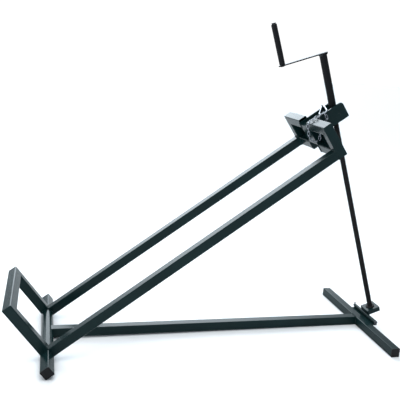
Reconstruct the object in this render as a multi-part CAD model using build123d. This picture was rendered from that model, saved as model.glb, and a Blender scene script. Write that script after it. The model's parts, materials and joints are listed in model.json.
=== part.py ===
"""Crank-screw lift for a ride-on mower, as an assembly of separate pieces.

A base (long tube, crossbar) carries a lift frame on a pivot at its rear end. A lead screw stands on a
hinged foot at the front of the base and passes through a trunnion nut in the head of the lift frame.
Turning the crank winds the nut along the screw and raises the head.

Frames used below:
  base frame  +X from the pivot towards the foot, +Y across, +Z up, ground at Z = 0, pivot above X = 0
  lift frame  origin on the pivot axis, x along the long arms, z square to them (towards the short arms)
  foot frame  origin on the foot hinge axis, z along the lead screw
The finished part is moved so that its origin is at the middle of its footprint on the ground.
"""

from build123d import *
import math
import os

# ---------------------------------------------------------------- driving dimensions (mm, degrees)
tube_side = 30.0            # every square tube
tube_wall = 2.0
tube_corner = 3.0           # outside corner radius of the square tube

lift_angle = 36.3           # long arms above the ground, as modelled (fully raised)

base_length = 1109.0        # pivot axis to the front face of the base crossbar
base_crossbar_length = 500.0
stub_span = 500.0           # over both ground stubs of the lift frame
frame_width = 306.0         # over the outside faces of the two long arms
arm_length = 1076.0         # pivot axis to the far face of the uprights
short_arm_length = 192.0    # pivot axis to the outer face of the end bar

axle_gap = 0.5              # between the axle and the inside of the tubes it runs through
axle_chamfer = 1.5
sleeve_wall = 6.5           # of the pivot sleeve, before its running clearance
running_clearance = 0.05    # radial, shaft in bearing
side_clearance = 0.3        # between faces that slide past each other
edge_chamfer = 1.0          # small turned and milled edges
pivot_washer_thickness = 1.6

cap_rim = 3.0               # plastic end cap, thickness outside the tube
cap_plug_depth = 14.0
cap_plug_gap = 0.25

cradle_height = 99.0        # top of the cradle rails above the arms' centre line
back_plate_thickness = 3.0

head_width = 60.0           # over the two cheeks
cheek_thickness = 4.0
head_length = 137.0         # along the arms, from the uprights' rear faces
head_top = 91.0             # top edge of the cheeks above the arms' centre line
head_bottom = 36.0          # lower edge of the cheeks' horizontal part
head_nose_radius = 12.0     # upper corner
head_chin_radius = 3.0      # lower corner
head_inner_radius = 8.0
top_plate_drop = 8.0        # cheeks stand this far above the top plate
top_plate_thickness = 4.0
top_slot_gap = 1.5          # between the crank tube and the edge of the top plate's slot

nut_reach = 75.0            # trunnion axis beyond the uprights' far face
nut_z = 56.0                # trunnion axis above the arms' centre line
nut_diameter = 36.0
nut_flat_height = 14.0      # milled flat above the trunnion axis
trunnion_diameter = 16.0
thread_travel_gap = 2.7     # room in the nut across the screw, where the linkage is opened
nut_side_gap = 0.35         # room in the nut along the trunnion axis
nut_washer_rim = 2.0        # the wear ring stands out this far round the crank tube
nut_washer_gap = 0.1        # radial, wear ring round the nut's slot

screw_diameter = 18.0
screw_journal_diameter = 14.0
screw_socket_depth = 32.0   # of the screw's top end in the crank tube

hinge_offset_x = 14.0       # foot hinge axis beyond the crossbar's front face
hinge_height = 34.5         # foot hinge axis above the ground
hinge_tube_diameter = 13.0
hinge_pin_diameter = 8.0
hinge_length = 142.0        # over all three knuckles
hinge_foot_knuckle = 48.0   # length of the middle knuckle
hinge_leaf_thickness = 5.0
hinge_leaf_width = 21.0
hinge_head_diameter = 12.0
hinge_head_thickness = 3.0
split_pin_diameter = 2.0

foot_length = 50.0
foot_width = 50.0
foot_thickness = 16.0
foot_screw_offset = 24.4    # screw axis from the hinge axis, along the foot
foot_rise = 6.3             # underside of the foot above the hinge axis
foot_corner = 3.0
bush_diameter = 20.0
bush_length = 8.0
counterbore_diameter = 27.0
thrust_washer_diameter = 30.0
thrust_washer_thickness = 3.0
retaining_nut_flats = 20.0
retaining_nut_height = 5.0

crank_tube_wall = 3.0
crank_tube_length = 182.0
crank_tube_seat = 17.5      # lower end of the tube above the trunnion axis, fully raised
roll_pin_diameter = 5.0
roll_pin_height = 19.0      # above the crank tube's lower end
crank_bar_width = 20.0
crank_bar_thickness = 4.0
crank_radius = 138.5
crank_bar_overhang = 16.0   # beyond the tube's axis
crank_grip_overhang = 12.0  # beyond the grip's axis
crank_weld_size = 5.0
grip_diameter = 18.0
grip_length = 126.0
grip_bore_gap = 0.15
grip_chamfer = 3.0
spindle_diameter = 8.0
spindle_head_diameter = 14.0
spindle_head_thickness = 2.0
spindle_rivet_rim = 2.0     # the rivet stands out this far round the spindle
spindle_rivet_height = 2.0  # under the crank bar
grip_end_gap = 0.6

chain_wire = 2.2
chain_pitch = 12.0          # inside length of a link
chain_link_width = 8.8
chain_slack = 0.5           # least free play between neighbouring links
chain_stand_off = 0.4       # between the chain and what it lies on
anchor_wire = 3.0
anchor_radius = 5.0
anchor_offset = 42.0        # anchor eye under the near top rail, from the cheek's outside face
eye_wire = 3.0
eye_radius = 6.0
hook_wire = 4.0
hook_end_offset = 8.58      # the hook's narrow end inside the far cheek's outside face
hook_wide_radius = 13.0     # centre line of the wide bend
hook_narrow_radius = 6.0
hook_turn = 62.4            # the hook's long axis from the arms' direction
hook_offset_x = 38.5        # centre of the wide bend beyond the uprights' far face
hook_offset_y = 8.0         # centre of the wide bend inside the near cheek's outside face
hook_rest_gap = 0.3
gate_pivot_diameter = 1.6
gate_ear_thickness = 0.9
gate_gap = 0.3

# ---------------------------------------------------------------- derived places
half_tube = tube_side / 2
lift_rad = math.radians(lift_angle)
pivot_height = half_tube * (math.cos(lift_rad) + math.sin(lift_rad))
half_frame = frame_width / 2
inner_frame = half_frame - tube_side
axle_diameter = tube_side - 2 * tube_wall - 2 * axle_gap
sleeve_diameter = axle_diameter + 2 * sleeve_wall
upright_x = arm_length - tube_side
cheek_outer = head_width / 2
nut_x = arm_length + nut_reach
crank_tube_diameter = screw_diameter + 2 * crank_tube_wall
anchor_y = -cheek_outer - anchor_offset
hook_wide_x = arm_length + hook_offset_x
hook_wide_y = -cheek_outer + hook_offset_y
cheek_inner = cheek_outer - cheek_thickness
crossbar_x = base_length - half_tube
hinge_x = base_length + hinge_offset_x

nut_world_x = nut_x * math.cos(lift_rad) - nut_z * math.sin(lift_rad)
nut_world_z = pivot_height + nut_x * math.sin(lift_rad) + nut_z * math.cos(lift_rad)
hinge_to_nut_x = nut_world_x - hinge_x
hinge_to_nut_z = nut_world_z - hinge_height
hinge_to_nut = math.hypot(hinge_to_nut_x, hinge_to_nut_z)
screw_lean = math.degrees(math.atan2(-hinge_to_nut_x, hinge_to_nut_z)
                          + math.asin(foot_screw_offset / hinge_to_nut))
nut_on_screw = math.sqrt(hinge_to_nut ** 2 - foot_screw_offset ** 2)
crank_tube_start = nut_on_screw + crank_tube_seat
crank_tube_end = crank_tube_start + crank_tube_length
foot_top = foot_rise + foot_thickness

LIFT = Location((0, 0, pivot_height), (0, -lift_angle, 0))
FOOT = Location((hinge_x, 0, hinge_height), (0, -screw_lean, 0))
NUT = Location((nut_world_x, 0, nut_world_z), (0, -screw_lean, 0))

SIDES = {"near": -1, "far": 1}


# ---------------------------------------------------------------- shared shapes
def box_between(low, high):
    """A plain block from its lowest to its highest corner."""
    size = [b - a for a, b in zip(low, high)]
    centre = [(a + b) / 2 for a, b in zip(low, high)]
    return Pos(*centre) * Box(*size)


def rod_y(diameter, y0, y1, x=0.0, z=0.0):
    """A round rod along Y."""
    length = abs(y1 - y0)
    return Pos(x, (y0 + y1) / 2, z) * Rot(90, 0, 0) * Cylinder(diameter / 2, length)


def rod_z(diameter, z0, z1, x=0.0, y=0.0):
    """A round rod along Z."""
    return Pos(x, y, (z0 + z1) / 2) * Cylinder(diameter / 2, z1 - z0)


def square_tube(length, plane):
    """A hollow square tube that starts at the plane and runs along its normal."""
    outer = plane * RectangleRounded(tube_side, tube_side, tube_corner)
    bore = tube_side - 2 * tube_wall
    inner = plane * RectangleRounded(bore, bore, tube_corner - tube_wall)
    return extrude(outer, length) - extrude(inner, length)


def tube_x(x0, x1, y=0.0, z=0.0):
    plane = Plane(origin=(x0, y, z), x_dir=(0, 1, 0), z_dir=(1, 0, 0))
    return square_tube(x1 - x0, plane)


def tube_y(y0, y1, x=0.0, z=0.0):
    plane = Plane(origin=(x, y0, z), x_dir=(1, 0, 0), z_dir=(0, 1, 0))
    return square_tube(y1 - y0, plane)


def tube_z(z0, z1, x=0.0, y=0.0):
    plane = Plane(origin=(x, y, z0), x_dir=(1, 0, 0), z_dir=(0, 0, 1))
    return square_tube(z1 - z0, plane)


def mitre_wedge(corner, along, away, y0, y1):
    """The prism on one side of a 45 degree mitre in the X-Z plane.

    The mitre runs through the corner in the direction along; away points to the side to be cut off.
    """
    reach = 3 * tube_side
    ax, az = along
    bx, bz = away
    points = [
        (corner[0] - ax * reach, corner[1] - az * reach),
        (corner[0] + ax * reach, corner[1] + az * reach),
        (corner[0] + (ax + bx) * reach, corner[1] + (az + bz) * reach),
        (corner[0] + (bx - ax) * reach, corner[1] + (bz - az) * reach),
    ]
    plane = Plane(origin=(0, y0, 0), x_dir=(1, 0, 0), z_dir=(0, -1, 0))
    outline = plane * make_face(Polyline(*points, close=True))
    return extrude(outline, -(y1 - y0))


def mitre_wedge_yz(corner, along, away, x0, x1):
    """As mitre_wedge, in the Y-Z plane."""
    reach = 3 * tube_side
    ay, az = along
    by, bz = away
    points = [
        (corner[0] - ay * reach, corner[1] - az * reach),
        (corner[0] + ay * reach, corner[1] + az * reach),
        (corner[0] + (ay + by) * reach, corner[1] + (az + bz) * reach),
        (corner[0] + (by - ay) * reach, corner[1] + (bz - az) * reach),
    ]
    plane = Plane(origin=(x0, 0, 0), x_dir=(0, 1, 0), z_dir=(1, 0, 0))
    outline = plane * make_face(Polyline(*points, close=True))
    return extrude(outline, x1 - x0)


def tube_cap(y_end, side, x=0.0, z=0.0):
    """A plastic end cap with its plug, for a tube along Y that ends at y_end."""
    bore = tube_side - 2 * tube_wall
    plug_side = bore - 2 * cap_plug_gap
    rim_plane = Plane(origin=(x, y_end, z), x_dir=(1, 0, 0), z_dir=(0, side, 0))
    rim = extrude(rim_plane * RectangleRounded(tube_side, tube_side, tube_corner), cap_rim)
    outer_edges = rim.faces().sort_by(Axis.Y)[-1 if side > 0 else 0].edges()
    rim = chamfer(outer_edges, cap_rim / 3)
    plug = extrude(rim_plane * RectangleRounded(plug_side, plug_side, tube_wall / 2), -cap_plug_depth)
    return rim + plug


def washer_y(outer, inner, y0, y1):
    return rod_y(outer, y0, y1) - rod_y(inner, y0, y1)


# ---------------------------------------------------------------- base
def base_beam():
    """The long tube, from the pivot sleeve to the crossbar, its front end a little lower than its rear."""
    slope = math.degrees(math.atan2(pivot_height - half_tube, crossbar_x))
    beam = Pos(0, 0, pivot_height) * Rot(0, slope, 0) * tube_x(0, base_length)
    front = box_between((base_length - tube_side, -tube_side, -tube_side),
                        (base_length + tube_side, tube_side, 3 * tube_side))
    sleeve = rod_y(sleeve_diameter, -inner_frame, inner_frame, 0, pivot_height)
    rear = box_between((-tube_side, -tube_side, -tube_side), (0, tube_side, 3 * tube_side))
    return beam - front - rear - sleeve


def base_crossbar():
    half = base_crossbar_length / 2 - cap_rim
    return tube_y(-half, half, crossbar_x, half_tube)


def base_crossbar_caps():
    half = base_crossbar_length / 2 - cap_rim
    return Compound([tube_cap(side * half, side, crossbar_x, half_tube) for side in SIDES.values()])


def pivot_sleeve():
    half = inner_frame - pivot_washer_thickness - 2 * side_clearance
    bore = axle_diameter + 2 * running_clearance
    sleeve = rod_y(sleeve_diameter, -half, half) - rod_y(bore, -half, half)
    return Pos(0, 0, pivot_height) * sleeve


def hinge_leaf():
    """Flat bar on the crossbar's front face that carries the two base knuckles."""
    top = hinge_height - hinge_tube_diameter / 2
    half = hinge_length / 2
    leaf = box_between((base_length, -half, top - hinge_leaf_thickness),
                       (base_length + hinge_leaf_width, half, top))
    foot_room = hinge_foot_knuckle / 2 + side_clearance
    groove = rod_y(hinge_tube_diameter + 2 * side_clearance, -foot_room, foot_room, hinge_x, hinge_height)
    return leaf - groove


def hinge_knuckle(y0, y1):
    bore = hinge_pin_diameter + 2 * running_clearance
    return rod_y(hinge_tube_diameter, y0, y1) - rod_y(bore, y0, y1)


def hinge_base_knuckles():
    start = hinge_foot_knuckle / 2 + side_clearance
    end = hinge_length / 2
    pair = [hinge_knuckle(start, end), hinge_knuckle(-end, -start)]
    return Compound([Pos(hinge_x, 0, hinge_height) * knuckle for knuckle in pair])


def hinge_pin():
    """Headed pin through the three knuckles, cross-drilled for its split pin."""
    end = hinge_length / 2
    tail = end + hinge_head_thickness + split_pin_diameter
    pin = rod_y(hinge_pin_diameter, -end - side_clearance, tail + split_pin_diameter)
    head = rod_y(hinge_head_diameter, -end - side_clearance - hinge_head_thickness, -end - side_clearance)
    hole = rod_z(split_pin_diameter, -hinge_pin_diameter, hinge_pin_diameter, 0, tail - side_clearance)
    return Pos(hinge_x, 0, hinge_height) * (pin + head - hole)


def hinge_split_pin():
    """Split pin: a shank through the hinge pin with an eye above it."""
    y = hinge_length / 2 + hinge_head_thickness + split_pin_diameter - side_clearance
    radius = hinge_pin_diameter / 2
    shank = rod_z(split_pin_diameter, -radius - 3 * split_pin_diameter, radius + split_pin_diameter, 0, y)
    eye_centre = radius + 2 * split_pin_diameter
    eye = Pos(0, y, eye_centre) * Rot(90, 0, 0) * Torus(1.5 * split_pin_diameter, split_pin_diameter / 2)
    eye_room = rod_y(2.4 * split_pin_diameter, y - tube_side, y + tube_side, 0, eye_centre)
    return Pos(hinge_x, 0, hinge_height) * (shank - eye_room + eye)


# ---------------------------------------------------------------- lift frame
def long_arm(side):
    """Long arm: mitred to the short arm at the pivot, square at the upright."""
    y = side * (half_frame - half_tube)
    arm = tube_x(-half_tube, upright_x, y)
    arm -= mitre_wedge((0, 0), (1, 1), (-1, 1), y - tube_side, y + tube_side)
    return arm - rod_y(axle_diameter, y - tube_side, y + tube_side)


def short_arm(side):
    """Short arm: mitred to the long arm and to the end bar."""
    y = side * (half_frame - half_tube)
    arm = tube_z(-half_tube, short_arm_length, 0, y)
    arm -= mitre_wedge((0, 0), (1, 1), (1, -1), y - tube_side, y + tube_side)
    corner = (side * half_frame, short_arm_length)
    arm -= mitre_wedge_yz(corner, (side, 1), (-side, 1), -tube_side, tube_side)
    return arm - rod_y(axle_diameter, y - tube_side, y + tube_side)


def end_bar():
    bar = tube_y(-half_frame, half_frame, 0, short_arm_length - half_tube)
    for side in SIDES.values():
        corner = (side * half_frame, short_arm_length)
        bar -= mitre_wedge_yz(corner, (side, 1), (side, -1), -tube_side, tube_side)
    return bar


def ground_stub(side):
    """Short square tube outside each arm; its lowest edge stands on the ground."""
    start = side * half_frame
    end = side * (stub_span / 2 - cap_rim)
    return tube_y(min(start, end), max(start, end))


def stub_caps():
    end = stub_span / 2 - cap_rim
    return Compound([tube_cap(side * end, side) for side in SIDES.values()])


def pivot_axle():
    end = half_frame + tube_side
    axle = rod_y(axle_diameter, -end, end)
    return chamfer(axle.edges(), axle_chamfer)


def pivot_washers():
    start = inner_frame - pivot_washer_thickness - side_clearance
    end = start + pivot_washer_thickness
    pair = [washer_y(sleeve_diameter, axle_diameter, side * start, side * end) for side in SIDES.values()]
    return Compound(pair)


def upright(side):
    """Upright at the end of each arm, mitred to the rails above and below."""
    post = tube_z(-half_tube, cradle_height, upright_x + half_tube, side * (half_frame - half_tube))
    x0 = upright_x - tube_side
    x1 = arm_length + tube_side
    post -= mitre_wedge_yz((side * half_frame, cradle_height), (side, 1), (-side, 1), x0, x1)
    return post - mitre_wedge_yz((side * half_frame, -half_tube), (side, -1), (-side, -1), x0, x1)


def cradle_rail(side, z, vertical):
    """Half of a cradle rail, from an upright's mitre to the cheek; vertical is +1 above, -1 below."""
    start = side * cheek_outer
    end = side * half_frame
    rail = tube_y(min(start, end), max(start, end), upright_x + half_tube, z)
    corner = (end, z + vertical * half_tube)
    x0 = upright_x - tube_side
    x1 = arm_length + tube_side
    return rail - mitre_wedge_yz(corner, (side, vertical), (side, -vertical), x0, x1)


def back_plate():
    """Sheet that closes the cradle at the uprights' front faces, notched round the head."""
    plate = box_between((arm_length - back_plate_thickness, -inner_frame, half_tube),
                        (arm_length, inner_frame, cradle_height - tube_side))
    room = box_between((upright_x, -cheek_outer, -tube_side), (arm_length + 1, cheek_outer, head_top))
    return Compound((plate - room).solids())


def head_cheek(side):
    """Side plate of the head: a bar along the arms with a leg down to the lower rails."""
    nose = upright_x + head_length
    points = [
        (upright_x, -half_tube),
        (arm_length, -half_tube),
        (arm_length, head_bottom),
        (nose, head_bottom),
        (nose, head_top),
        (upright_x, head_top),
    ]
    outer = side * cheek_outer
    inner = side * cheek_inner
    plane = Plane(origin=(0, min(outer, inner), 0), x_dir=(1, 0, 0), z_dir=(0, -1, 0))
    plate = extrude(plane * make_face(Polyline(*points, close=True)), -cheek_thickness)
    for corner, radius in (((nose, head_top), head_nose_radius),
                           ((nose, head_bottom), head_chin_radius),
                           ((arm_length, head_bottom), head_inner_radius)):
        spot = Vector(corner[0], (outer + inner) / 2, corner[1])
        edge = plate.edges().filter_by(Axis.Y).sort_by_distance(spot)[0]
        plate = fillet(edge, radius)
    return plate - rod_y(trunnion_diameter + 2 * running_clearance, -head_width, head_width, nut_x, nut_z)


def head_front_plate():
    """Plate that closes the rear end of the head, between the cheeks."""
    return box_between((upright_x, -cheek_inner, half_tube),
                       (upright_x + cheek_thickness, cheek_inner, head_top - top_plate_drop))


def head_top_plate():
    """Recessed top of the head, with a slot in which the screw and crank tube swing."""
    top = head_top - top_plate_drop
    nose = upright_x + head_length - head_nose_radius
    plate = box_between((upright_x + cheek_thickness, -cheek_inner, top - top_plate_thickness),
                        (nose, cheek_inner, top))
    lean = math.radians(lift_angle - screw_lean)
    rise = top - nut_z
    reach = crank_tube_diameter / 2 / math.cos(lean) + top_slot_gap
    slot_start = nut_x - crank_tube_diameter / 2
    slot_end = nut_x + rise * math.tan(lean) + reach
    slot_width = crank_tube_diameter + 2 * top_slot_gap
    middle = (slot_start + slot_end) / 2
    slot_plane = Plane(origin=(middle, 0, top - 2 * top_plate_thickness))
    slot = extrude(slot_plane * SlotOverall(slot_end - slot_start, slot_width), 3 * top_plate_thickness)
    return plate - slot


def trunnion_nut():
    """Round cross bar with the screw hole through it, turning between the cheeks."""
    half = cheek_inner - side_clearance
    bar = rod_y(nut_diameter, -half, half)
    bar -= box_between((-nut_diameter, -head_width, nut_flat_height),
                       (nut_diameter, head_width, nut_diameter))
    hole_plane = Plane(origin=(0, 0, -nut_diameter))
    hole_width = screw_diameter + 2 * nut_side_gap
    hole_length = screw_diameter + 2 * thread_travel_gap
    return bar - extrude(hole_plane * SlotOverall(hole_length, hole_width), 2 * nut_diameter)


def trunnion_pins():
    start = cheek_inner - side_clearance
    return Compound([rod_y(trunnion_diameter, side * start, side * cheek_outer) for side in SIDES.values()])


def nut_washer():
    """Wear ring on the nut's flat, where the crank tube comes to rest."""
    outer = crank_tube_diameter + 2 * nut_washer_rim
    hole = screw_diameter + 2 * (thread_travel_gap + nut_washer_gap)
    top = crank_tube_seat - side_clearance
    return rod_z(outer, nut_flat_height, top) - rod_z(hole, nut_flat_height, top)


# ---------------------------------------------------------------- foot and screw (foot frame)
def foot_block():
    x = foot_screw_offset
    centre_z = foot_rise + foot_thickness / 2
    block = Pos(x, 0, centre_z) * Box(foot_length, foot_width, foot_thickness)
    block = fillet(block.edges().filter_by(Axis.Z), foot_corner)
    block = chamfer(block.faces().sort_by(Axis.Z)[-1].edges(), edge_chamfer)
    block -= rod_z(bush_diameter, foot_rise, foot_top, x)
    block -= rod_z(counterbore_diameter, foot_rise, foot_top - bush_length, x)
    return block - rod_y(hinge_tube_diameter, -hinge_length, hinge_length)


def foot_knuckle():
    return hinge_knuckle(-hinge_foot_knuckle / 2, hinge_foot_knuckle / 2)


def foot_bush():
    hole = screw_journal_diameter + 2 * running_clearance
    x = foot_screw_offset
    start = foot_top - bush_length
    return rod_z(bush_diameter, start, foot_top, x) - rod_z(hole, start, foot_top, x)


def thrust_washer():
    hole = screw_journal_diameter + 2 * running_clearance
    x = foot_screw_offset
    end = foot_top + thrust_washer_thickness
    ring = rod_z(thrust_washer_diameter, foot_top, end, x)
    ring = chamfer(ring.edges().sort_by(Axis.Z)[-1], thrust_washer_thickness / 3)
    return ring - rod_z(hole, foot_top, end, x)


def lead_screw():
    """Screw with its lower journal; the top end sits in the crank tube."""
    x = foot_screw_offset
    shoulder = foot_top + thrust_washer_thickness + side_clearance
    journal_end = foot_top - bush_length - side_clearance - retaining_nut_height
    shank = rod_z(screw_diameter, shoulder, crank_tube_start + screw_socket_depth, x)
    shank = chamfer(shank.edges(), edge_chamfer)
    journal = rod_z(screw_journal_diameter, journal_end, shoulder + 1, x)
    return shank + journal - roll_pin_hole()


def roll_pin_hole():
    z = crank_tube_start + roll_pin_height
    return rod_y(roll_pin_diameter, -crank_tube_diameter, crank_tube_diameter, foot_screw_offset, z)


def roll_pin():
    z = crank_tube_start + roll_pin_height
    half = crank_tube_diameter / 2
    return rod_y(roll_pin_diameter, -half, half, foot_screw_offset, z)


def retaining_nut():
    """Thin nut in the foot's counterbore that keeps the screw in its bush."""
    x = foot_screw_offset
    top = foot_top - bush_length - side_clearance
    plane = Plane(origin=(x, 0, top - retaining_nut_height))
    hexagon = plane * RegularPolygon(retaining_nut_flats / 2, 6, major_radius=False)
    nut = extrude(hexagon, retaining_nut_height)
    return nut - rod_z(screw_journal_diameter, top - retaining_nut_height, top, x)


def crank_tube():
    x = foot_screw_offset
    tube = rod_z(crank_tube_diameter, crank_tube_start, crank_tube_end, x)
    tube -= rod_z(screw_diameter, crank_tube_start, crank_tube_end - crank_bar_thickness, x)
    return tube - roll_pin_hole()


def crank_bar():
    """Flat bar across the tube's top, out to the grip."""
    left = foot_screw_offset - crank_radius - crank_grip_overhang
    right = foot_screw_offset + crank_bar_overhang
    half = crank_bar_width / 2
    bar = box_between((left, -half, crank_tube_end), (right, half, crank_tube_end + crank_bar_thickness))
    bar = fillet(bar.edges().filter_by(Axis.Z), half - 1)
    grip_x = foot_screw_offset - crank_radius
    return bar - rod_z(spindle_diameter, crank_tube_end - 1, crank_tube_end + 2 * crank_bar_thickness, grip_x)


def crank_weld():
    """Weld bead between the crank tube and the underside of the bar."""
    radius = crank_tube_diameter / 2
    low = crank_tube_end - crank_weld_size
    bead_middle = Pos(foot_screw_offset, 0, (low + crank_tube_end) / 2)
    bead = bead_middle * Cone(radius, radius + crank_weld_size, crank_weld_size)
    bar_room = box_between((foot_screw_offset - 2 * radius, -crank_bar_width / 2, low),
                           (foot_screw_offset + 2 * radius, crank_bar_width / 2, crank_tube_end))
    return (bead & bar_room) - rod_z(crank_tube_diameter, low, crank_tube_end, foot_screw_offset)


def grip_spindle():
    """Headed rod on which the grip turns, riveted under the bar."""
    x = foot_screw_offset - crank_radius
    top = crank_tube_end + crank_bar_thickness + grip_length + 2 * grip_end_gap
    low = crank_tube_end - spindle_rivet_height
    rod = rod_z(spindle_diameter, low, top, x)
    rivet = rod_z(spindle_diameter + 2 * spindle_rivet_rim, low, crank_tube_end, x)
    head = rod_z(spindle_head_diameter, top, top + spindle_head_thickness, x)
    head = fillet(head.edges().sort_by(Axis.Z)[-1], spindle_head_thickness * 0.6)
    return rod + rivet + head


def grip():
    """Plain round grip sleeve, bevelled at both ends."""
    x = foot_screw_offset - crank_radius
    start = crank_tube_end + crank_bar_thickness + grip_end_gap
    end = start + grip_length
    body = rod_z(grip_diameter, start, end, x)
    body = chamfer(body.edges().sort_by(Axis.Z)[-1], grip_chamfer)
    body = chamfer(body.edges().sort_by(Axis.Z)[0], edge_chamfer)
    return body - rod_z(spindle_diameter + 2 * grip_bore_gap, start, end, x)


# ---------------------------------------------------------------- chain and hook (lift frame)
hook_span = head_width - hook_offset_y - hook_end_offset      # across the head
hook_reach = hook_span / math.sin(math.radians(hook_turn)) - hook_narrow_radius
hook_taper = math.asin((hook_wide_radius - hook_narrow_radius) / hook_reach)
hook_leg = hook_reach * math.cos(hook_taper)
hook_level = head_top + hook_wire / 2 + hook_rest_gap
HOOK = Location((hook_wide_x, hook_wide_y, hook_level), (0, 0, hook_turn))
gate_root = hook_wire                                   # hinge from the narrow bend's end
gate_tip = hook_leg - hook_wire / 2
GATE = HOOK * Location((hook_reach + hook_narrow_radius * math.sin(hook_taper),
                        -hook_narrow_radius * math.cos(hook_taper), 0),
                       (0, 0, 180 + math.degrees(hook_taper)))


def round_rod(path, diameter):
    """A round rod along a path of lines and arcs."""
    return sweep(Plane(origin=path @ 0, z_dir=path % 0) * Circle(diameter / 2), path=path)


def chain_link():
    """One long link in the X-Y plane, centred on the origin."""
    radius = (chain_link_width - chain_wire) / 2
    half = (chain_pitch + chain_wire) / 2 - radius
    path = Wire([
        Line((-half, -radius), (half, -radius)),
        CenterArc((half, 0), radius, -90, 180),
        Line((half, radius), (-half, radius)),
        CenterArc((-half, 0), radius, 90, 180),
    ])
    return round_rod(path, chain_wire)


def first_link():
    """Centre, direction and flat side of the link that hangs on the hook's wide bend."""
    bend = math.radians(225 + hook_turn / 2)
    out = Vector(math.cos(bend), math.sin(bend), 0)
    on_bend = Vector(hook_wide_x, hook_wide_y, hook_level) + out * hook_wide_radius
    along = (out * 0.62 + Vector(0, 0, -0.78)).normalized()
    centre = on_bend + along * ((chain_pitch - hook_wire) / 2 - chain_stand_off)
    return centre, along, Vector(-out.Y, out.X, 0)


def anchor_centre():
    return Vector(upright_x + half_tube, anchor_y, cradle_height - tube_side - anchor_radius)


def chain_route():
    """The line of the chain in the lift frame, from its first link on the hook to the anchor.

    It drops between the cheek and the near top rail, goes over that rail, and hangs in a loop in
    front of it.
    """
    centre, along, _ = first_link()
    up = Vector(math.sin(lift_rad), 0, math.cos(lift_rad))
    last_reach = anchor_radius + (chain_pitch - anchor_wire) / 2 - chain_stand_off
    last = anchor_centre() - up * last_reach
    width = chain_link_width / 2 + chain_stand_off
    over = cradle_height + width
    under = cradle_height - tube_side
    cheek = -cheek_outer - width
    front = upright_x - width
    rear = arm_length + width
    corner = 0.85 * width
    points = [
        centre,
        centre + along * chain_pitch,
        (rear + 15, cheek - 2, under),
        (rear + 5, cheek - 6, under + 2),
        (rear + 1, cheek - 12, cradle_height - 10),
        (arm_length + corner, cheek - 17, cradle_height + corner),
        (arm_length - 11, cheek - 19, over),
        (upright_x + 10, cheek - 19, over),
        (front + 2, cheek - 22, over - 2),
        (front - 9, cheek - 29, cradle_height - 12),
        (front - 19, cheek - 36, under + 2),
        (front - 16, cheek - 40, under - 16),
        (front - 8, cheek - 41, under - 24),
        (front + 5, anchor_y - 1, under - 25),
        last - up * (chain_pitch / 2),
        last,
    ]
    return Spline(*points, tangents=(along, up), tangent_scalars=(1, 0.1))


def chain_places():
    """One plane for each link: x along the chain, z square to the link's flat."""
    route = chain_route()
    _, _, flat = first_link()
    count = math.ceil(route.length / (chain_pitch - chain_slack))
    places = []
    for index in range(count + 1):
        tangent = route.tangent_at(index / count)
        flat = (flat - tangent * flat.dot(tangent)).normalized()
        normal = flat.cross(tangent) if index % 2 else flat
        places.append(Plane(origin=route.position_at(index / count), x_dir=tangent, z_dir=normal))
    return places


def safety_chain():
    """Interlocked links, each turned a quarter from the one before it."""
    link = chain_link()
    return Compound([place.location * link for place in chain_places()])


def chain_anchor():
    """Eye welded under the near top rail, square to the chain's last link."""
    place = chain_places()[-1]
    plane = Plane(origin=anchor_centre(), x_dir=place.x_dir, z_dir=place.y_dir)
    ring = plane.location * Torus(anchor_radius, anchor_wire / 2)
    rail_room = box_between((upright_x, -half_frame, cradle_height - tube_side),
                            (arm_length, 0, cradle_height))
    return ring - rail_room


def hook_eye():
    """Eye on the far cheek's top edge that holds the snap hook's narrow bend."""
    turn = math.radians(hook_turn)
    reach = hook_reach + hook_narrow_radius
    x = hook_wide_x + reach * math.cos(turn)
    y = hook_wide_y + reach * math.sin(turn)
    ring = Pos(x, y + eye_wire / 2, hook_level) * Rot(0, 0, hook_turn - 90) * Rot(0, 90, 0)
    ring = ring * Torus(eye_radius, eye_wire / 2)
    cheek_room = box_between((upright_x, cheek_inner, 0), (arm_length + head_length, cheek_outer, head_top))
    return ring - cheek_room


def snap_hook():
    """Pear-shaped spring hook of round wire, open on one side for its gate."""
    taper = math.degrees(hook_taper)
    side = Vector(math.sin(hook_taper), math.cos(hook_taper), 0)
    narrow_side = Vector(hook_reach, 0, 0) + side * hook_narrow_radius
    path = Wire([
        CenterArc((hook_reach, 0), hook_narrow_radius, taper - 90, 180 - 2 * taper),
        Line(narrow_side, side * hook_wide_radius),
        CenterArc((0, 0), hook_wide_radius, 90 - taper, 180 + 2 * taper),
    ])
    return round_rod(path, hook_wire)


def gate_ears():
    """The hook's two ears and the rivet on which the gate turns, in the gate's frame."""
    radius = hook_wire / 2
    ears = Pos(gate_root / 4, 0, 0) * Rot(0, 90, 0) * Cylinder(radius, gate_root / 2)
    for side in (-1, 1):
        middle = side * (radius - gate_ear_thickness / 2)
        plate = Pos(gate_root / 2, 0, middle) * Box(gate_root, hook_wire, gate_ear_thickness)
        ears += plate + Pos(gate_root, 0, middle) * Cylinder(radius, gate_ear_thickness)
    return ears + Pos(gate_root, 0, 0) * Cylinder(gate_pivot_diameter / 2, hook_wire)


def snap_gate():
    """Sprung gate of the hook: an eye between the ears and a round bar out to the wide bend."""
    radius = hook_wire / 2
    height = hook_wire - 2 * gate_ear_thickness - 2 * gate_gap
    eye = Pos(gate_root, 0, 0) * Cylinder(radius - gate_gap, height)
    neck_end = gate_root + radius + 2 * gate_gap
    half_neck = radius - gate_gap
    neck = box_between((gate_root, -half_neck, -height / 2), (neck_end + 1, half_neck, height / 2))
    bar = Pos((neck_end + gate_tip) / 2, 0, 0) * Rot(0, 90, 0) * Cylinder(radius, gate_tip - neck_end)
    hole = Pos(gate_root, 0, 0) * Cylinder(gate_pivot_diameter / 2 + running_clearance, hook_wire)
    return eye + neck + bar - hole


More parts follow.
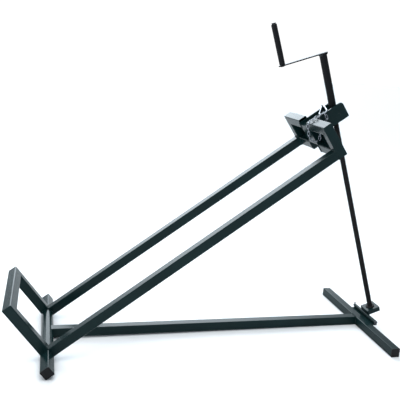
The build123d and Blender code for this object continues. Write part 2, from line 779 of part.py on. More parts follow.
# ---------------------------------------------------------------- assembly
nodes = {
    "base_beam": base_beam(),
    "base_crossbar": base_crossbar(),
    "base_crossbar_caps": base_crossbar_caps(),
    "pivot_sleeve": pivot_sleeve(),
    "hinge_leaf": hinge_leaf(),
    "hinge_base_knuckles": hinge_base_knuckles(),
    "hinge_pin": hinge_pin(),
    "hinge_split_pin": hinge_split_pin(),
    "end_bar": LIFT * end_bar(),
    "stub_caps": LIFT * stub_caps(),
    "pivot_axle": LIFT * pivot_axle(),
    "pivot_washers": LIFT * pivot_washers(),
    "back_plate": LIFT * back_plate(),
    "head_front_plate": LIFT * head_front_plate(),
    "head_top_plate": LIFT * head_top_plate(),
    "trunnion_nut": NUT * trunnion_nut(),
    "trunnion_pins": NUT * trunnion_pins(),
    "nut_washer": NUT * nut_washer(),
    "foot_block": FOOT * foot_block(),
    "foot_knuckle": FOOT * foot_knuckle(),
    "foot_bush": FOOT * foot_bush(),
    "thrust_washer": FOOT * thrust_washer(),
    "retaining_nut": FOOT * retaining_nut(),
    "lead_screw": FOOT * lead_screw(),
    "crank_tube": FOOT * crank_tube(),
    "roll_pin": FOOT * roll_pin(),
    "crank_bar": FOOT * crank_bar(),
    "crank_weld": FOOT * crank_weld(),
    "grip_spindle": FOOT * grip_spindle(),
    "grip": FOOT * grip(),
    "safety_chain": LIFT * safety_chain(),
    "chain_anchor": LIFT * chain_anchor(),
    "hook_eye": LIFT * hook_eye(),
    "snap_hook": LIFT * (HOOK * snap_hook() + GATE * gate_ears()),
    "snap_gate": LIFT * GATE * snap_gate(),
}
for name, side in SIDES.items():
    nodes["long_arm_" + name] = LIFT * long_arm(side)
    nodes["short_arm_" + name] = LIFT * short_arm(side)
    nodes["ground_stub_" + name] = LIFT * ground_stub(side)
    nodes["upright_" + name] = LIFT * upright(side)
    nodes["top_rail_" + name] = LIFT * cradle_rail(side, cradle_height - half_tube, 1)
    nodes["bottom_rail_" + name] = LIFT * cradle_rail(side, 0, -1)
    nodes["head_cheek_" + name] = LIFT * head_cheek(side)

whole = Compound([shape for shape in nodes.values()]).bounding_box()
origin_shift = Vector(-(whole.min.X + whole.max.X) / 2, -(whole.min.Y + whole.max.Y) / 2, -whole.min.Z)

os.makedirs("parts", exist_ok=True)
for name, shape in nodes.items():
    export_step(Pos(origin_shift) * shape, f"parts/{name}.step")

print("origin shift", origin_shift)
print("screw lean", screw_lean, "nut on screw", nut_on_screw)
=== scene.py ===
"""Looks of the crank-screw mower lift: paint, plating, thread, weld beads, floor, light and camera."""
import json
import math

import bmesh
import bpy
from bpy.props import FloatProperty, FloatVectorProperty, IntProperty, PointerProperty
from bpy.types import Operator, Panel, PropertyGroup
from mathutils import Matrix, Vector


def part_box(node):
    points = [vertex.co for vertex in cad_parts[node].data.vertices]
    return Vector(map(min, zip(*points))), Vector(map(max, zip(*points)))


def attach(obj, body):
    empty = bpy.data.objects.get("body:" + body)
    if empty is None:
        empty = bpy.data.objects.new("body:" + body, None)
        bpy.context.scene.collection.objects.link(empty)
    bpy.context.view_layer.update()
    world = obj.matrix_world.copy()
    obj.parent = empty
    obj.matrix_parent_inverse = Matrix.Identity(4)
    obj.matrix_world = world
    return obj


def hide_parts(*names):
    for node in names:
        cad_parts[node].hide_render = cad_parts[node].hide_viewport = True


bl_info = {
    "name": "Mower lift looks",
    "version": (1, 0, 0),
    "blender": (4, 5, 0),
    "location": "View3D > Sidebar > Mower Lift",
    "description": "Finishes the crank-screw mower lift: paint, plating, thread, welds, stage and camera",
    "category": "Object",
}

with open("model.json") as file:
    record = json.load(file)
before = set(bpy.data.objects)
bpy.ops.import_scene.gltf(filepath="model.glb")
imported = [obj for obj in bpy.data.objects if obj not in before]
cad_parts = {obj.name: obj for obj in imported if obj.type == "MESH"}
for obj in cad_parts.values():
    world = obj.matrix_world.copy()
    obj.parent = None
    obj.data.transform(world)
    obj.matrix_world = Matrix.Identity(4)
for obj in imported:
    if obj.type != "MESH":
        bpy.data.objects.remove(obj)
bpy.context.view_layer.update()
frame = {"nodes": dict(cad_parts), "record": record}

joints = {joint["name"]: joint for joint in frame["record"]["behaviour"]["joints"]}
pivot = Vector(joints["arm_lift"]["pos_m"])
screw_dir = Vector(joints["crank_turn"]["axis"]).normalized()
screw_foot = Vector(joints["crank_turn"]["pos_m"])
slot_of = {part["node"]: part["material_slot"] for part in frame["record"]["subparts"]}

weld_inset = 0.003                      # a bead stops this far from a tube's edge
camera_place = (-0.5278, -1.7126, 0.8999)
camera_lens = 51.74                     # mm, on a 36 mm sensor
window_direction = (0.0, 0.88, 0.475)   # from the lift towards the middle of the bright window
floor_reach = 30.0
light_aim = (0, 0, 0.5)


# ---------------------------------------------------------------- sizes and colours
class LiftSizes(PropertyGroup):
    tube: FloatProperty(name="Tube side", description="Side of every square tube",
                        default=0.030, unit="LENGTH")
    lift_angle: FloatProperty(name="Lift angle", description="Long arms above the ground",
                              default=math.radians(36.3), subtype="ANGLE")
    half_frame: FloatProperty(name="Half frame width", description="Middle to an arm's outside face",
                              default=0.153, unit="LENGTH")
    upright_x: FloatProperty(name="Upright distance", description="Pivot axis to the uprights",
                             default=1.046, unit="LENGTH")
    cradle_height: FloatProperty(name="Cradle height", description="Arms' centre line to the cradle's top",
                                 default=0.099, unit="LENGTH")
    cheek_outer: FloatProperty(name="Head half width", description="Middle to a cheek's outside face",
                               default=0.030, unit="LENGTH")
    short_arm: FloatProperty(name="Short arm", description="Pivot axis to the end bar's outer face",
                             default=0.192, unit="LENGTH")
    weld_size: FloatProperty(name="Weld size", description="Width of a weld bead",
                             default=0.0050, unit="LENGTH")
    weld_step: FloatProperty(name="Weld ripple", description="Spacing of a weld bead's ripples",
                             default=0.0016, unit="LENGTH")
    weld_seed: IntProperty(name="Weld seed", description="Seed of the beads' unevenness", default=7)
    screw_radius: FloatProperty(name="Screw radius", description="Over the thread's crests",
                                default=0.009, unit="LENGTH")
    journal_radius: FloatProperty(name="Journal radius", description="Plain lower end of the screw",
                                  default=0.007, unit="LENGTH")
    screw_gap: FloatProperty(name="Shoulder gap", description="Thrust washer to the screw's shoulder",
                             default=0.0003, unit="LENGTH")
    thread_depth: FloatProperty(name="Thread depth", description="Crest to root",
                                default=0.0013, unit="LENGTH")
    thread_pitch: FloatProperty(name="Thread pitch", description="Rise in one turn",
                                default=0.004, unit="LENGTH")


class LiftColours(PropertyGroup):
    paint: FloatVectorProperty(name="Frame paint", description="Very dark green gloss powder coat",
                               default=(0.0045, 0.0150, 0.0160), subtype="COLOR", min=0, max=1)
    black: FloatVectorProperty(name="Crank paint", description="Black satin paint",
                               default=(0.0040, 0.0042, 0.0050), subtype="COLOR", min=0, max=1)
    steel: FloatVectorProperty(name="Oiled steel", description="Lead screw and nut",
                               default=(0.016, 0.015, 0.016), subtype="COLOR", min=0, max=1)
    plating: FloatVectorProperty(name="Plating", description="Pins, washers and axle",
                                 default=(0.050, 0.052, 0.057), subtype="COLOR", min=0, max=1)
    zinc: FloatVectorProperty(name="Bright zinc", description="Chain and snap hook",
                              default=(0.24, 0.26, 0.29), subtype="COLOR", min=0, max=1)
    bronze: FloatVectorProperty(name="Bronze", description="Foot bush",
                                default=(0.36, 0.20, 0.075), subtype="COLOR", min=0, max=1)
    plastic: FloatVectorProperty(name="Plastic", description="End caps and grip",
                                 default=(0.0040, 0.0040, 0.0050), subtype="COLOR", min=0, max=1)
    bare: FloatVectorProperty(name="Worn edge", description="Primer and metal under the paint",
                              default=(0.16, 0.17, 0.18), subtype="COLOR", min=0, max=1)
    floor: FloatVectorProperty(name="Floor", description="Pale studio floor",
                               default=(0.86, 0.87, 0.88), subtype="COLOR", min=0, max=1)


# ---------------------------------------------------------------- node helpers
def add_node(tree, kind, **values):
    """A node with some of its inputs or settings given by name."""
    node = tree.nodes.new(kind)
    for name, value in values.items():
        if name in node.bl_rna.properties:
            setattr(node, name, value)
        else:
            node.inputs[name.replace("_", " ")].default_value = value
    return node


def group_socket(tree, name, kind, default=None, output=False):
    """A socket of a node group, with its default."""
    socket = tree.interface.new_socket(name=name, in_out="OUTPUT" if output else "INPUT", socket_type=kind)
    if default is not None:
        socket.default_value = default
    return socket


def calc(tree, operation, *terms, **settings):
    """A Math node's result; each term is a socket or a number."""
    node = add_node(tree, "ShaderNodeMath", operation=operation, **settings)
    for place, term in zip(node.inputs, terms):
        if isinstance(term, bpy.types.NodeSocket):
            tree.links.new(term, place)
        else:
            place.default_value = term
    return node.outputs["Value"]


def map_range(tree, value, low, high):
    """A value from low to high, as 0 to 1."""
    node = add_node(tree, "ShaderNodeMapRange")
    node.inputs["From Min"].default_value = low
    node.inputs["From Max"].default_value = high
    tree.links.new(value, node.inputs["Value"])
    return node.outputs["Result"]


def object_noise(tree, scale, detail, roughness):
    """Noise over the object's own coordinates, its scale given by a socket."""
    place = add_node(tree, "ShaderNodeTexCoord")
    noise = add_node(tree, "ShaderNodeTexNoise", Detail=detail, Roughness=roughness)
    tree.links.new(place.outputs["Object"], noise.inputs["Vector"])
    tree.links.new(scale, noise.inputs["Scale"])
    return noise.outputs["Fac"]


def edge_wear_group():
    """Mask of rubbed edges: where a rounded normal leaves the true one, broken up by noise."""
    tree = bpy.data.node_groups.new("Edge wear", "ShaderNodeTree")
    group_socket(tree, "Width", "NodeSocketFloat", 0.0012)
    group_socket(tree, "Amount", "NodeSocketFloat", 0.5)
    group_socket(tree, "Patch scale", "NodeSocketFloat", 45.0)
    group_socket(tree, "Wear", "NodeSocketFloat", output=True)
    ins = add_node(tree, "NodeGroupInput")
    outs = add_node(tree, "NodeGroupOutput")
    bevel = add_node(tree, "ShaderNodeBevel", samples=6)
    tree.links.new(ins.outputs["Width"], bevel.inputs["Radius"])
    geometry = add_node(tree, "ShaderNodeNewGeometry")
    dot = add_node(tree, "ShaderNodeVectorMath", operation="DOT_PRODUCT")
    tree.links.new(bevel.outputs["Normal"], dot.inputs[0])
    tree.links.new(geometry.outputs["Normal"], dot.inputs[1])
    edge = map_range(tree, dot.outputs["Value"], 0.995, 0.80)
    patch = map_range(tree, object_noise(tree, ins.outputs["Patch scale"], 5.0, 0.65), 0.45, 0.72)
    both = calc(tree, "MULTIPLY", edge, patch)
    tree.links.new(calc(tree, "MULTIPLY", both, ins.outputs["Amount"], use_clamp=True), outs.inputs["Wear"])
    return tree


def surface_group():
    """Slow colour drift, fine roughness change and orange-peel height of a finish."""
    tree = bpy.data.node_groups.new("Surface variation", "ShaderNodeTree")
    group_socket(tree, "Colour", "NodeSocketColor", (0.5, 0.5, 0.5, 1))
    group_socket(tree, "Drift", "NodeSocketFloat", 0.2)
    group_socket(tree, "Roughness", "NodeSocketFloat", 0.3)
    group_socket(tree, "Roughness change", "NodeSocketFloat", 0.06)
    group_socket(tree, "Cloud scale", "NodeSocketFloat", 6.0)
    group_socket(tree, "Grain scale", "NodeSocketFloat", 420.0)
    group_socket(tree, "Colour out", "NodeSocketColor", output=True)
    group_socket(tree, "Roughness out", "NodeSocketFloat", output=True)
    group_socket(tree, "Height", "NodeSocketFloat", output=True)
    ins = add_node(tree, "NodeGroupInput")
    outs = add_node(tree, "NodeGroupOutput")
    cloud = object_noise(tree, ins.outputs["Cloud scale"], 4.0, 0.6)
    grain = object_noise(tree, ins.outputs["Grain scale"], 2.0, 0.5)
    centred = calc(tree, "SUBTRACT", cloud, 0.5)
    drift = calc(tree, "MULTIPLY", centred, ins.outputs["Drift"])
    shade = add_node(tree, "ShaderNodeVectorMath", operation="SCALE")
    tree.links.new(ins.outputs["Colour"], shade.inputs[0])
    tree.links.new(calc(tree, "MULTIPLY_ADD", drift, 4.0, 1.0), shade.inputs["Scale"])
    tree.links.new(shade.outputs["Vector"], outs.inputs["Colour out"])
    rough = calc(tree, "MULTIPLY", centred, ins.outputs["Roughness change"])
    total = calc(tree, "ADD", rough, ins.outputs["Roughness"], use_clamp=True)
    tree.links.new(total, outs.inputs["Roughness out"])
    tree.links.new(grain, outs.inputs["Height"])
    return tree


# ---------------------------------------------------------------- materials
def finish(name, colour, roughness, metallic=0.0, wear=0.4, drift=0.16, bump=0.00003, grain=420.0,
           ior=1.5):
    """A finish made of the two groups and one Principled shader."""
    colours = bpy.context.scene.lift_colours
    material = bpy.data.materials.new(name)
    material.use_nodes = True
    tree = material.node_tree
    shader = tree.nodes["Principled BSDF"]
    surface = add_node(tree, "ShaderNodeGroup")
    surface.node_tree = bpy.data.node_groups["Surface variation"]
    surface.inputs["Colour"].default_value = (*colour, 1)
    surface.inputs["Drift"].default_value = drift
    surface.inputs["Roughness"].default_value = roughness
    surface.inputs["Roughness change"].default_value = 0.25 * roughness
    surface.inputs["Grain scale"].default_value = grain
    worn = add_node(tree, "ShaderNodeGroup")
    worn.node_tree = bpy.data.node_groups["Edge wear"]
    worn.inputs["Amount"].default_value = wear
    mix = add_node(tree, "ShaderNodeMix", data_type="RGBA")
    tree.links.new(worn.outputs["Wear"], mix.inputs[0])
    tree.links.new(surface.outputs["Colour out"], mix.inputs[6])
    mix.inputs[7].default_value = (*colours.bare, 1)
    tree.links.new(mix.outputs[2], shader.inputs["Base Color"])
    tree.links.new(surface.outputs["Roughness out"], shader.inputs["Roughness"])
    relief = add_node(tree, "ShaderNodeBump", Strength=0.6)
    relief.inputs["Distance"].default_value = bump
    tree.links.new(surface.outputs["Height"], relief.inputs["Height"])
    tree.links.new(relief.outputs["Normal"], shader.inputs["Normal"])
    shader.inputs["Metallic"].default_value = metallic
    shader.inputs["IOR"].default_value = ior
    return material


def make_materials():
    """One material for each of the record's finishes, named after its slot."""
    colours = bpy.context.scene.lift_colours
    edge_wear_group()
    surface_group()
    return {
        "frame_paint": finish("frame_paint", colours.paint, 0.24, wear=0.5, ior=1.20, drift=0.28),
        "crank_paint": finish("crank_paint", colours.black, 0.34, wear=0.7, ior=1.20),
        "dark_steel": finish("dark_steel", colours.steel, 0.52, wear=0.0, grain=900, ior=1.12),
        "plated_steel": finish("plated_steel", colours.plating, 0.30, metallic=1.0, wear=0.1, grain=900),
        "bright_zinc": finish("bright_zinc", colours.zinc, 0.24, metallic=1.0, wear=0.0, grain=1200),
        "bronze": finish("bronze", colours.bronze, 0.38, metallic=1.0, wear=0.0, grain=1500),
        "cap_plastic": finish("cap_plastic", colours.plastic, 0.48, wear=0.15, bump=0.00006, grain=700,
                              ior=1.25),
        "grip_plastic": finish("grip_plastic", colours.plastic, 0.30, wear=0.1, bump=0.00004, grain=600,
                               ior=1.22),
    }


class LIFT_OT_finishes(Operator):
    """Makes the finishes and puts them on every piece of the frame"""
    bl_idname = "mower_lift.finishes"
    bl_label = "Finishes"

    def execute(self, context):
        materials = make_materials()
        for name, node in frame["nodes"].items():
            material = materials[slot_of[name]]
            if not node.material_slots:
                node.data.materials.append(material)
            for place in node.material_slots:
                place.material = material
        return {"FINISHED"}


# ---------------------------------------------------------------- Geometry Nodes
def modifier_input(tree, modifier, name, value):
    """Sets a modifier's input by the socket's identifier."""
    for item in tree.interface.items_tree:
        if item.name == name and item.in_out == "INPUT":
            modifier[item.identifier] = value
            return
    raise RuntimeError(f"no input called {name}")


def finish_of(name):
    """The finish that a frame node wears."""
    return frame["nodes"][name].material_slots[0].material


def to_plain_mesh(carrier, name, material):
    """The evaluated result of an object's modifiers as a new object with a plain mesh."""
    evaluated = carrier.evaluated_get(bpy.context.evaluated_depsgraph_get())
    mesh = bpy.data.meshes.new_from_object(evaluated)
    bpy.data.objects.remove(carrier)
    mesh.name = name
    if not mesh.vertices:
        raise RuntimeError(f"{name} came out empty")
    turned = bmesh.new()
    turned.from_mesh(mesh)
    bmesh.ops.recalc_face_normals(turned, faces=turned.faces)
    turned.to_mesh(mesh)
    turned.free()
    piece = bpy.data.objects.new(name, mesh)
    bpy.context.scene.collection.objects.link(piece)
    mesh.materials.clear()
    mesh.materials.append(material)
    for polygon in mesh.polygons:
        polygon.material_index = 0
        polygon.use_smooth = True
    return piece


def cylinder_from_origin(tree, radius, length, share):
    """A cylinder along Z, moved along it by a share of its length."""
    rod = add_node(tree, "GeometryNodeMeshCylinder")
    rod.inputs["Vertices"].default_value = 32
    tree.links.new(radius, rod.inputs["Radius"])
    tree.links.new(length, rod.inputs["Depth"])
    offset = add_node(tree, "ShaderNodeCombineXYZ")
    tree.links.new(calc(tree, "MULTIPLY", length, share), offset.inputs["Z"])
    moved = add_node(tree, "GeometryNodeTransform")
    tree.links.new(rod.outputs["Mesh"], moved.inputs["Geometry"])
    tree.links.new(offset.outputs["Vector"], moved.inputs["Translation"])
    return moved.outputs["Geometry"]


def thread_tree(material):
    """A screw: a core with a ridge wound round it, and a plain journal below."""
    tree = bpy.data.node_groups.new("Screw thread", "GeometryNodeTree")
    group_socket(tree, "Core radius", "NodeSocketFloat", 0.0077)
    group_socket(tree, "Crest radius", "NodeSocketFloat", 0.009)
    group_socket(tree, "Pitch", "NodeSocketFloat", 0.004)
    group_socket(tree, "Length", "NodeSocketFloat", 0.7)
    group_socket(tree, "Journal radius", "NodeSocketFloat", 0.007)
    group_socket(tree, "Journal length", "NodeSocketFloat", 0.0166)
    group_socket(tree, "Geometry", "NodeSocketGeometry", output=True)
    ins = add_node(tree, "NodeGroupInput")
    outs = add_node(tree, "NodeGroupOutput")
    turns = calc(tree, "DIVIDE", ins.outputs["Length"], ins.outputs["Pitch"])
    depth = calc(tree, "SUBTRACT", ins.outputs["Crest radius"], ins.outputs["Core radius"])
    middle = calc(tree, "SUBTRACT", ins.outputs["Crest radius"], depth)
    helix = add_node(tree, "GeometryNodeCurveSpiral")
    helix.inputs["Resolution"].default_value = 24
    tree.links.new(turns, helix.inputs["Rotations"])
    tree.links.new(middle, helix.inputs["Start Radius"])
    tree.links.new(middle, helix.inputs["End Radius"])
    tree.links.new(ins.outputs["Length"], helix.inputs["Height"])
    profile = add_node(tree, "GeometryNodeCurvePrimitiveCircle")
    profile.inputs["Resolution"].default_value = 6
    tree.links.new(depth, profile.inputs["Radius"])
    ridge = add_node(tree, "GeometryNodeCurveToMesh")
    ridge.inputs["Fill Caps"].default_value = True
    tree.links.new(helix.outputs["Curve"], ridge.inputs["Curve"])
    tree.links.new(profile.outputs["Curve"], ridge.inputs["Profile Curve"])
    core = cylinder_from_origin(tree, ins.outputs["Core radius"], ins.outputs["Length"], 0.5)
    journal = cylinder_from_origin(tree, ins.outputs["Journal radius"], ins.outputs["Journal length"], -0.5)
    join = add_node(tree, "GeometryNodeJoinGeometry")
    for shape in (ridge.outputs["Mesh"], core, journal):
        tree.links.new(shape, join.inputs["Geometry"])
    end_tree(tree, join.outputs["Geometry"], outs, material)
    return tree


def weld_tree(material):
    """A rippled bead along the edges of a mesh of lines."""
    tree = bpy.data.node_groups.new("Weld bead", "GeometryNodeTree")
    group_socket(tree, "Geometry", "NodeSocketGeometry")
    group_socket(tree, "Size", "NodeSocketFloat", 0.005)
    group_socket(tree, "Step", "NodeSocketFloat", 0.0016)
    group_socket(tree, "Seed", "NodeSocketInt", 7)
    group_socket(tree, "Geometry", "NodeSocketGeometry", output=True)
    ins = add_node(tree, "NodeGroupInput")
    outs = add_node(tree, "NodeGroupOutput")
    curve = add_node(tree, "GeometryNodeMeshToCurve")
    tree.links.new(ins.outputs["Geometry"], curve.inputs["Mesh"])
    points = add_node(tree, "GeometryNodeResampleCurve")
    points.mode = "LENGTH"
    tree.links.new(curve.outputs["Curve"], points.inputs["Curve"])
    tree.links.new(ins.outputs["Step"], points.inputs["Length"])
    tangent = add_node(tree, "GeometryNodeInputTangent")
    align = add_node(tree, "FunctionNodeAlignRotationToVector", axis="X")
    tree.links.new(tangent.outputs["Tangent"], align.inputs["Vector"])
    half = calc(tree, "MULTIPLY", ins.outputs["Size"], 0.5)
    drop = add_node(tree, "GeometryNodeMeshIcoSphere")
    drop.inputs["Subdivisions"].default_value = 2
    tree.links.new(half, drop.inputs["Radius"])
    uneven = add_node(tree, "FunctionNodeRandomValue", data_type="FLOAT_VECTOR")
    uneven.inputs[0].default_value = (0.42, 0.86, 0.86)
    uneven.inputs[1].default_value = (0.55, 1.0, 1.0)
    tree.links.new(ins.outputs["Seed"], uneven.inputs["Seed"])
    beads = add_node(tree, "GeometryNodeInstanceOnPoints")
    tree.links.new(points.outputs["Curve"], beads.inputs["Points"])
    tree.links.new(drop.outputs["Mesh"], beads.inputs["Instance"])
    tree.links.new(align.outputs["Rotation"], beads.inputs["Rotation"])
    tree.links.new(uneven.outputs[0], beads.inputs["Scale"])
    end_tree(tree, beads.outputs["Instances"], outs, material)
    return tree


def end_tree(tree, geometry, outs, material):
    """Ends a tree with real geometry in its material."""
    real = add_node(tree, "GeometryNodeRealizeInstances")
    tree.links.new(geometry, real.inputs["Geometry"])
    coat = add_node(tree, "GeometryNodeSetMaterial")
    coat.inputs["Material"].default_value = material
    tree.links.new(real.outputs["Geometry"], coat.inputs["Geometry"])
    tree.links.new(coat.outputs["Geometry"], outs.inputs["Geometry"])


# ---------------------------------------------------------------- lead screw
class LIFT_OT_lead_screw(Operator):
    """Puts a threaded screw with its journal in the plain one's place"""
    bl_idname = "mower_lift.lead_screw"
    bl_label = "Lead screw"

    def execute(self, context):
        sizes = context.scene.lift_sizes
        along = [(Vector(v) - screw_foot).dot(screw_dir) for v in node_points("lead_screw")]
        washer_top = max((Vector(v) - screw_foot).dot(screw_dir) for v in node_points("thrust_washer"))
        shoulder = washer_top + sizes.screw_gap
        length = max(along) - shoulder
        material = finish_of("lead_screw")
        tree = thread_tree(material)
        carrier = bpy.data.objects.new("thread_carrier", bpy.data.meshes.new("thread_carrier"))
        context.scene.collection.objects.link(carrier)
        modifier = carrier.modifiers.new("Thread", "NODES")
        modifier.node_group = tree
        modifier_input(tree, modifier, "Core radius", sizes.screw_radius - sizes.thread_depth)
        modifier_input(tree, modifier, "Crest radius", sizes.screw_radius)
        modifier_input(tree, modifier, "Pitch", sizes.thread_pitch)
        modifier_input(tree, modifier, "Length", length)
        modifier_input(tree, modifier, "Journal radius", sizes.journal_radius)
        modifier_input(tree, modifier, "Journal length", shoulder - min(along))
        piece = to_plain_mesh(carrier, "threaded_screw", material)
        turn = screw_dir.to_track_quat("Z", "Y").to_matrix().to_4x4()
        piece.data.transform(Matrix.Translation(screw_foot + screw_dir * shoulder) @ turn)
        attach(piece, "screw")
        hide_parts("lead_screw")
        return {"FINISHED"}


def node_points(name):
    """A frame node's corners, in metres."""
    return [tuple(vertex.co) for vertex in frame["nodes"][name].data.vertices]


# ---------------------------------------------------------------- welds
def lift_point(x, y, z):
    """A point given in the lift frame, in the row's frame."""
    angle = bpy.context.scene.lift_sizes.lift_angle
    turn = Matrix.Rotation(-angle, 3, "Y")
    return pivot + turn @ Vector((x, y, z))


def bead_object(name, paths, body):
    """Weld beads along some paths, as one plain mesh that rides a body."""
    sizes = bpy.context.scene.lift_sizes
    points = []
    edges = []
    for path in paths:
        start = len(points)
        points += path
        edges += [(start + i, start + i + 1) for i in range(len(path) - 1)]
    mesh = bpy.data.meshes.new(name + "_lines")
    mesh.from_pydata(points, edges, [])
    carrier = bpy.data.objects.new(name + "_lines", mesh)
    bpy.context.scene.collection.objects.link(carrier)
    material = finish_of("end_bar")
    tree = bpy.data.node_groups.get("Weld bead") or weld_tree(material)
    modifier = carrier.modifiers.new("Bead", "NODES")
    modifier.node_group = tree
    modifier_input(tree, modifier, "Size", sizes.weld_size)
    modifier_input(tree, modifier, "Step", sizes.weld_step)
    modifier_input(tree, modifier, "Seed", sizes.weld_seed)
    piece = to_plain_mesh(carrier, name, material)
    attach(piece, body)
    return piece


class LIFT_OT_lift_welds(Operator):
    """Lays the weld beads of the lift frame"""
    bl_idname = "mower_lift.lift_welds"
    bl_label = "Lift frame welds"

    def execute(self, context):
        s = context.scene.lift_sizes
        half = s.tube / 2
        inset = weld_inset
        paths = []
        for side in (-1, 1):
            out = side * s.half_frame
            inner = side * (s.half_frame - s.tube)
            low, high = sorted((inner + side * inset, out - side * inset))
            paths.append([lift_point(s.upright_x, low, half), lift_point(s.upright_x, high, half)])
            paths.append([lift_point(s.upright_x, low, -half), lift_point(s.upright_x, high, -half)])
            paths.append([lift_point(-half, out, inset - half), lift_point(half, out, inset - half)])
            paths.append([lift_point(inset - half, out, -half), lift_point(inset - half, out, half)])
            paths.append([lift_point(-half + inset, inner, s.short_arm - s.tube),
                          lift_point(half - inset, inner, s.short_arm - s.tube)])
            cheek = side * s.cheek_outer
            rail_low = s.cradle_height - s.tube
            for x in (s.upright_x, s.upright_x + s.tube):
                paths.append([lift_point(x, cheek, rail_low + inset),
                              lift_point(x, cheek, s.cradle_height - 3 * inset)])
                paths.append([lift_point(x, cheek, inset - half), lift_point(x, cheek, half - inset)])
        bead_object("lift_welds", paths, "lift_frame")
        return {"FINISHED"}


class LIFT_OT_base_welds(Operator):
    """Lays the weld beads of the base"""
    bl_idname = "mower_lift.base_welds"
    bl_label = "Base welds"

    def execute(self, context):
        s = context.scene.lift_sizes
        low, high = (Vector(corner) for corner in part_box("base_crossbar"))
        inset = weld_inset
        half = s.tube / 2 - inset
        paths = []
        for side in (-1, 1):
            y = side * s.tube / 2
            paths.append([Vector((low.x, y, low.z + inset)), Vector((low.x, y, high.z - inset))])
        paths.append([Vector((low.x, -half, high.z)), Vector((low.x, half, high.z))])
        leaf_low, leaf_high = (Vector(corner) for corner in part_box("hinge_leaf"))
        for start, end in ((leaf_low.y + inset, -s.tube), (s.tube, leaf_high.y - inset)):
            paths.append([Vector((high.x, start, leaf_low.z)), Vector((high.x, end, leaf_low.z))])
        bead_object("base_welds", paths, "base")
        return {"FINISHED"}


# ---------------------------------------------------------------- stage
def area_light(name, place, size, power):
    """A square lamp turned towards the lift."""
    light = bpy.data.lights.new(name, "AREA")
    light.shape = "SQUARE"
    light.size = size
    light.energy = power
    lamp = bpy.data.objects.new(name, light)
    lamp.location = place
    lamp.rotation_euler = (Vector(light_aim) - Vector(place)).to_track_quat("-Z", "Y").to_euler()
    bpy.context.scene.collection.objects.link(lamp)


def make_floor():
    """A wide pale floor at the lift's feet."""
    colours = bpy.context.scene.lift_colours
    reach = floor_reach
    mesh = bpy.data.meshes.new("floor")
    corners = [(-reach, -reach, 0), (reach, -reach, 0), (reach, reach, 0), (-reach, reach, 0)]
    mesh.from_pydata(corners, [], [(0, 1, 2, 3)])
    floor = bpy.data.objects.new("floor", mesh)
    bpy.context.scene.collection.objects.link(floor)
    material = bpy.data.materials.new("floor")
    material.use_nodes = True
    shader = material.node_tree.nodes["Principled BSDF"]
    shader.inputs["Base Color"].default_value = (*colours.floor, 1)
    shader.inputs["Roughness"].default_value = 0.75
    mesh.materials.append(material)


def make_world():
    """Soft surroundings with a broad bright window behind the lift; the camera sees plain white."""
    world = bpy.data.worlds.new("studio")
    world.use_nodes = True
    tree = world.node_tree
    surroundings = tree.nodes["Background"]
    place = add_node(tree, "ShaderNodeTexCoord")
    window = add_node(tree, "ShaderNodeVectorMath", operation="DOT_PRODUCT")
    tree.links.new(place.outputs["Generated"], window.inputs[0])
    window.inputs[1].default_value = window_direction
    glow = add_node(tree, "ShaderNodeMapRange", interpolation_type="SMOOTHSTEP")
    glow.inputs["From Min"].default_value = 0.84
    glow.inputs["From Max"].default_value = 0.98
    glow.inputs["To Min"].default_value = 0.70
    glow.inputs["To Max"].default_value = 7.5
    tree.links.new(window.outputs["Value"], glow.inputs["Value"])
    tree.links.new(glow.outputs["Result"], surroundings.inputs["Strength"])
    surroundings.inputs["Color"].default_value = (0.84, 0.93, 1.0, 1)
    white = add_node(tree, "ShaderNodeBackground", Strength=1.1)
    path = add_node(tree, "ShaderNodeLightPath")
    mix = add_node(tree, "ShaderNodeMixShader")
    tree.links.new(path.outputs["Is Camera Ray"], mix.inputs["Fac"])
    tree.links.new(surroundings.outputs["Background"], mix.inputs[1])
    tree.links.new(white.outputs["Background"], mix.inputs[2])
    white.inputs["Color"].default_value = (1.0, 1.0, 1.0, 1)
    tree.links.new(mix.outputs["Shader"], tree.nodes["World Output"].inputs["Surface"])
    bpy.context.scene.world = world


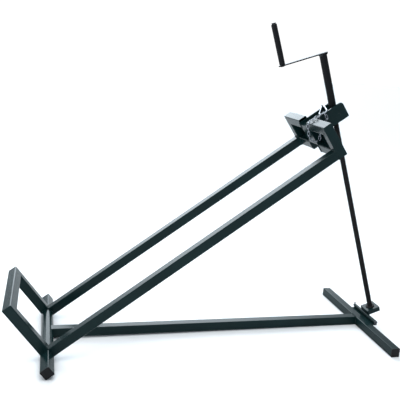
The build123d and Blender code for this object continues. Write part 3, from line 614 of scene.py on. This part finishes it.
def make_camera():
    """The camera, level apart from a slight roll, looking down along the arms' side."""
    data = bpy.data.cameras.new("camera")
    data.sensor_width = 36.0
    data.lens = camera_lens
    camera = bpy.data.objects.new("camera", data)
    heading = math.radians(15.40)
    pitch = math.radians(14.03)
    roll = math.radians(4.50)
    turn = Matrix.Rotation(-heading, 4, "Z") @ Matrix.Rotation(math.pi / 2 - pitch, 4, "X")
    turn = turn @ Matrix.Rotation(roll, 4, "Z")
    camera.matrix_world = Matrix.Translation(camera_place) @ turn
    bpy.context.scene.collection.objects.link(camera)
    bpy.context.scene.camera = camera


class LIFT_OT_stage(Operator):
    """Sets the floor, the light and the camera"""
    bl_idname = "mower_lift.stage"
    bl_label = "Stage"

    def execute(self, context):
        make_floor()
        make_world()
        area_light("top panel", (-0.4, -0.3, 3.2), 2.6, 60)
        area_light("side panel", (-2.6, -1.4, 1.8), 1.8, 18)
        make_camera()
        context.scene.view_settings.view_transform = "Standard"
        return {"FINISHED"}


class LIFT_PT_panel(Panel):
    """Steps of the mower lift's finish"""
    bl_idname = "LIFT_PT_panel"
    bl_label = "Mower lift"
    bl_space_type = "VIEW_3D"
    bl_region_type = "UI"
    bl_category = "Mower Lift"

    def draw(self, context):
        for step in steps:
            self.layout.operator(step.bl_idname)
        for group in (context.scene.lift_sizes, context.scene.lift_colours):
            for name in group.__annotations__:
                self.layout.prop(group, name)


steps = (LIFT_OT_finishes, LIFT_OT_lead_screw, LIFT_OT_lift_welds, LIFT_OT_base_welds, LIFT_OT_stage)
classes = (LiftSizes, LiftColours, *steps, LIFT_PT_panel)


def register():
    for item in classes:
        bpy.utils.register_class(item)
    bpy.types.Scene.lift_sizes = PointerProperty(type=LiftSizes)
    bpy.types.Scene.lift_colours = PointerProperty(type=LiftColours)


def unregister():
    del bpy.types.Scene.lift_colours
    del bpy.types.Scene.lift_sizes
    for item in reversed(classes):
        bpy.utils.unregister_class(item)


def main():
    register()
    for name in ("finishes", "lead_screw", "lift_welds", "base_welds", "stage"):
        getattr(bpy.ops.mower_lift, name)()


if __name__ == "__main__":
    main()
